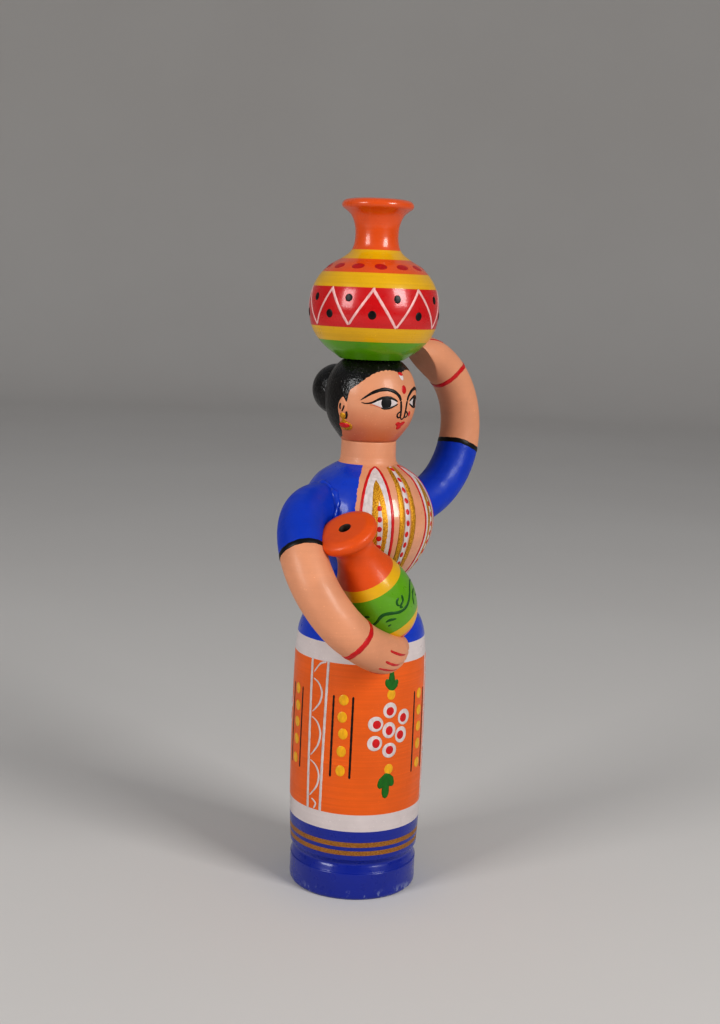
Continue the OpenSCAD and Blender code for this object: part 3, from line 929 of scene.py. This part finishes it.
def face():
    centre = FACE_TURN + 1
    b = "head"

    def at(points, side):
        return [(centre + side * a, z) for a, z in points]

    brow = [(-59.5, 183.4), (-52.5, 184.8), (-45.5, 186.1), (-38, 187.0), (-30.3, 187.5), (-22.3, 187.3),
            (-14.6, 186.5), (-8.5, 185.0), (-5.8, 183.4)]
    nose = [(-5.8, 183.4), (-4.8, 181.6), (-4.1, 179.4), (-3.6, 177.7)]
    lid = [(-58, 182.7), (-53.5, 182.4), (-48.6, 182.5), (-43.7, 182.9), (-37.7, 183.8), (-31.5, 184.5),
           (-25, 184.7), (-18, 184.2), (-10.8, 183.2)]
    low = [(-10.6, 182.3), (-16, 181.6), (-21.6, 181.0), (-28.2, 180.7), (-33.5, 181.0)]
    white_top = [(-45, 182.7), (-37.7, 183.8), (-31.5, 184.4), (-25, 184.6), (-18, 184.1), (-11.5, 182.9)]
    white_low = [(-45, 182.4), (-38, 181.5), (-32, 180.9), (-26, 180.8), (-18, 181.4), (-11.5, 182.6)]
    nostril = [(-5, 179.6), (-8.9, 178.9), (-9.6, 178.0), (-6.8, 177.4), (-4, 177.6)]
    crease = [(-33, 181.0), (-41, 181.7), (-48, 182.0)]
    brow_width = [0.35, 0.65, 1.0, 1.2, 1.3, 1.25, 1.2, 1.2, 1.0]
    for side in (-1, 1):
        pair = (white_low, white_top) if side > 0 else (white_top, white_low)
        between(b, "white", head, at(pair[0], side), at(pair[1], side), 0.07, 7, 30)
        dab(b, "black", head, centre - side * 26.8, 182.7, 2.2, 2.1, 0.16)
        line(b, "black", head, at(lid, side), [0.3, 0.6, 0.9, 1.0, 0.95, 0.7], 0.13, taper=(5, 3))
        line(b, "black", head, at(low, side), [0.6, 0.8, 0.7], 0.13, taper=(3, 3))
        line(b, "faded", head, at(crease, side), [0.35, 0.25], 0.07, taper=(3, 6))
        line(b, "black", head, at(brow, side), brow_width, 0.14, taper=(6, 1))
        line(b, "black", head, at(nose, side), [1.0, 0.95, 0.85], 0.13)
        line(b, "black", head, at(nostril, side), [0.65, 0.65, 0.65], 0.13)
    line(b, "black", head, at([(-3.6, 177.7), (-1.2, 176.8), (1.6, 176.9), (4, 177.9)], 1), 0.55, 0.14)
    dab(b, "red", head, centre - 0.3, 187.4, 1.2, 1.5, 0.18)
    dab(b, "red", head, centre + 14, 178.6, 0.75, 1.05, 0.16, 15)
    line(b, "white", head, at([(-0.9, 192.9), (-0.4, 191.8), (0.4, 190.6)], 1), [2.6, 2.1, 1.0], 0.1)
    dab(b, "red", head, centre - 0.6, 192.8, 1.15, 0.8, 0.2, -12)
    line(b, "red", head, at([(-8.7, 174.9), (-5.4, 175.1), (-1.5, 174.6), (3, 174.9), (8.8, 175.6)], 1),
         [1.2, 1.9, 1.5, 1.8, 1.0], 0.16)
    line(b, "red", head, at([(-4.4, 174.2), (-0.6, 173.6), (3.6, 174.1)], 1), [1.4, 2.0, 1.3], 0.17)
    for side in (-1, 1):
        ear(centre, side)


def ear(centre, side):
    """Ear over the hair, with its inner lines, a gold stud and a bell-shaped earring."""
    b = "head"

    def at(points):
        return [(centre + side * a, z) for a, z in points]

    front = [(-82.3, 184.2), (-80, 183.2), (-77, 181.5), (-77.5, 178), (-79.5, 175.5)]
    back = [(-84.3, 184.1), (-88.8, 182.6), (-91.2, 180.6), (-91, 178), (-88, 175.5)]
    pair = (back, front) if side > 0 else (front, back)
    between(b, "skin", head, at(pair[0]), at(pair[1]), 0.28, 9, 30)
    line(b, "black", head, at([(-86, 182.0), (-87.2, 180.8), (-86.6, 179.7)]), [1.0, 1.1, 0.9], 0.4)
    line(b, "black", head, at([(-80.6, 181.3), (-82, 180.2), (-84.6, 179)]), [0.7, 0.9, 0.8], 0.4)
    line(b, "black", head, at([(-78, 179.2), (-78.1, 177.7), (-80, 176.4)]), [0.7, 0.9, 0.7], 0.38)
    dab(b, "gold", head, centre - side * 83.6, 177.4, 1.45, 1.5, 0.5)
    line(b, "gold", head, at([(-83.5, 176.6), (-83.7, 174.6)]), [1.7, 3.2], 0.45)
    dab(b, "gold", head, centre - side * 83.4, 173.7, 2.8, 2.05, 0.5)
    dab(b, "red", head, centre - side * 84.2, 174.1, 2.7, 1.15, 0.72, 2)


def arm_lines():
    """Sleeve hems, bangles and the lines between the fingers."""
    def ring(arm, kind, angles, width, lift):
        """Line all round an arm; angles are ring angles at even steps round the section."""
        overlap = 6
        n = len(angles)
        path = [(k * 360 / n, float(arm.v(angles[k % n]))) for k in range(n + 1)]
        path[0] = (-overlap, path[0][1])
        stroke(brush("figure", kind), arm, path, width, lift, taper=(0.01, 0.01))

    ring(right_arm, "black", [28.6, 28.4, 28.9, 28.5, 28.7, 28.2, 28.4, 28.8], 1.9, 0.12)
    ring(left_arm, "black", [-15.0, -15.2, -13.8, -11.5, -12.7, -13.5, -14.1, -14.7], 1.8, 0.12)
    ring(right_arm, "red", [-41.5, -43.5, -44.5, -43.5, -42.5, -42.0, -43.0, -41.8], 2.1, 0.16)
    ring(left_arm, "red", [43.4, 44.6, 47.8, 47.9, 46.2, 45.6, 44.6, 43.6], 1.8, 0.16)
    for path in ([(267, -64.5), (264, -74), (266, -85)], [(300, -63), (298, -70), (296, -80)],
                 [(329, -62), (322, -69), (315, -80)], [(12, -62.6), (-3, -68), (-15, -73)]):
        moved = [(u, float(right_arm.v(t))) for u, t in path]
        stroke(brush("figure", "red"), right_arm, moved, [0.8, 1.0, 0.7], 0.1, taper=(2, 2))
    for shift in (0, 26, -26):
        path = [(shift, float(left_arm.v(66))), (shift + 4, float(left_arm.v(78)))]
        stroke(brush("figure", "red"), left_arm, path, [0.8, 1.0, 0.7], 0.1, taper=(2, 2))


PAINTS = {"white": white, "thin_white": thin_white, "red": red, "dark_red": dark_red, "black": black,
          "yellow": yellow_dots, "leaf": leaf_green, "vine": vine_green, "gold": gold,
          "faded": faded_red, "skin": skin_head}
SLOTS = {"figure": "skirt_lacquer", "head": "skin_lacquer", "pot": "pot_lacquer"}


def make_strokes():
    skirt_pattern()
    pot_pattern()
    jar_pattern()
    chest_pattern()
    face()
    arm_lines()
    for (body, kind), build in paint.items():
        build.piece(body + "_" + kind + "_strokes", [PAINTS[kind]], body, SLOTS[body])


def shoulder_bead(arm, name, material):
    """Uneven filler along the line where an arm meets the torso, painted over."""
    around = 72
    u = np.arange(around) * 360 / around
    v = np.linspace(0, arm.end, 400)
    points = arm.point(u[:, None], v[None, :])
    inside = torso.radius(points[..., 2]) - np.hypot(points[..., 0], points[..., 1])
    last = np.array([np.nonzero(row > 0)[0].max() if (row > 0).any() else 0 for row in inside])
    centre = points[np.arange(around), last]
    for _ in range(3):
        centre = (np.roll(centre, 1, 0) + 2 * centre + np.roll(centre, -1, 0)) / 4
    a = np.radians(u)
    wave = 0.3 * np.sin(3 * a + 1) + 0.25 * np.sin(7 * a) + 0.2 * np.sin(13 * a + 2)
    size = 1.05 + wave
    along = unit(np.roll(centre, -1, 0) - np.roll(centre, 1, 0))
    inward = unit(arm.centre + 0 * centre - centre)
    side = unit(np.cross(along, inward))
    top = unit(np.cross(side, along))
    sides = 12
    rows = []
    for k in range(sides):
        t = k * math.tau / sides
        ring = math.cos(t) * side + math.sin(t) * top
        rows.append(centre + ring * (size * (1.5 if k % (sides // 2) == 0 else 1.1))[:, None])
    rows.append(rows[0])
    b = Build()
    b.grid(np.array(rows), -1, True)
    b.piece(name, [material], "figure", "sleeve_lacquer")


def finish_hidden_pieces():
    """The dowels, pegs and pins keep their CAD shape."""
    for name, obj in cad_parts.items():
        material = wood if "dowel" in name or "peg" in name else steel if "pin" in name else None
        if material is not None:
            obj.data.materials.clear()
            obj.data.materials.append(material)


# ---------------------------------------------------------------- studio

def make_floor():
    """Pale floor that sweeps up all round into a wall."""
    s = Shader("studio_floor")
    tone = s.mix(s.noise(3, 2), srgb(206, 202, 198), srgb(212, 209, 205))
    material = s.finish(tone, 0.85)
    flat, bend, wall = 2000, 600, 1400
    below_foot = 0.05
    sweep = [(flat + bend * math.sin(math.radians(a)), bend - bend * math.cos(math.radians(a)))
             for a in range(0, 91, 6)]
    bowl = Turned([(0.01, 0), (60, 0), (500, 0)] + sweep + [(flat + bend, wall)],
                  origin=(0, 0, -below_foot))
    b = Build()
    u = np.arange(0, 360, 5)
    b.grid(bowl.point(np.broadcast_to(u, (len(bowl.s), len(u))), bowl.s[:, None]), -1, True)
    floor = b.solid("studio_floor", [material])


def window_light(name, azimuth, elevation, distance, size, power):
    """Soft rectangular light that looks at the doll's chest."""
    chest = Vector((0, 0, 0.14))
    data = bpy.data.lights.new(name, "AREA")
    data.shape = "RECTANGLE"
    data.size, data.size_y = size
    data.energy = power
    lamp = bpy.data.objects.new(name, data)
    up = math.radians(elevation)
    away = heading(azimuth) * math.cos(up) + np.array([0, 0, math.sin(up)])
    lamp.location = Vector(away * distance) + chest
    lamp.rotation_euler = Vector(away).to_track_quat("Z", "Y").to_euler()
    bpy.context.scene.collection.objects.link(lamp)


def make_light():
    window_light("window_left", -86, 20, 1.3, (0.46, 0.6), 7.4)
    window_light("window_right", 11, 25, 1.3, (0.46, 0.6), 10.2)
    world = bpy.data.worlds.new("studio")
    world.use_nodes = True
    world.node_tree.nodes["Background"].inputs["Color"].default_value = (0.86, 0.88, 0.92, 1)
    world.node_tree.nodes["Background"].inputs["Strength"].default_value = 0.31
    bpy.context.scene.world = world
    bpy.context.scene.view_settings.view_transform = "Standard"
    bpy.context.scene.view_settings.look = "Medium High Contrast"


def make_camera():
    """50 mm lens, a little above the doll's shoulders, looking down 9 degrees and slightly rolled."""
    data = bpy.data.cameras.new("camera")
    data.lens = 50
    data.sensor_width = 36
    camera = bpy.data.objects.new("camera", data)
    distance, height = 0.5178, 0.2236
    side = -38.0
    pitch, roll, yaw = (math.radians(a) for a in (9.07, 2.239, -0.243))
    ahead = -heading(side)
    right = np.cross(ahead, [0, 0, 1.0])
    aim = math.cos(yaw) * ahead + math.sin(yaw) * right
    right = math.cos(yaw) * right - math.sin(yaw) * ahead
    look = math.cos(pitch) * aim - math.sin(pitch) * np.array([0, 0, 1.0])
    up = np.cross(right, look)
    x = math.cos(roll) * right + math.sin(roll) * up
    y = math.cos(roll) * up - math.sin(roll) * right
    place = heading(side) * distance + np.array([0, 0, height])
    camera.matrix_world = Matrix([[x[i], y[i], -look[i], place[i]] for i in range(3)] + [[0, 0, 0, 1]])
    bpy.context.scene.collection.objects.link(camera)
    bpy.context.scene.camera = camera


make_camera()
make_light()
make_floor()
make_skirt()
make_torso()
make_head()
make_bun()
make_pot()
make_jar()
make_arm(right_arm, "right_arm", 28.6)
make_arm(left_arm, "left_arm", -13.2)
shoulder_bead(right_arm, "right_shoulder_filler", blouse_blue)
shoulder_bead(left_arm, "left_shoulder_filler", blouse_blue)
make_strokes()
finish_hidden_pieces()
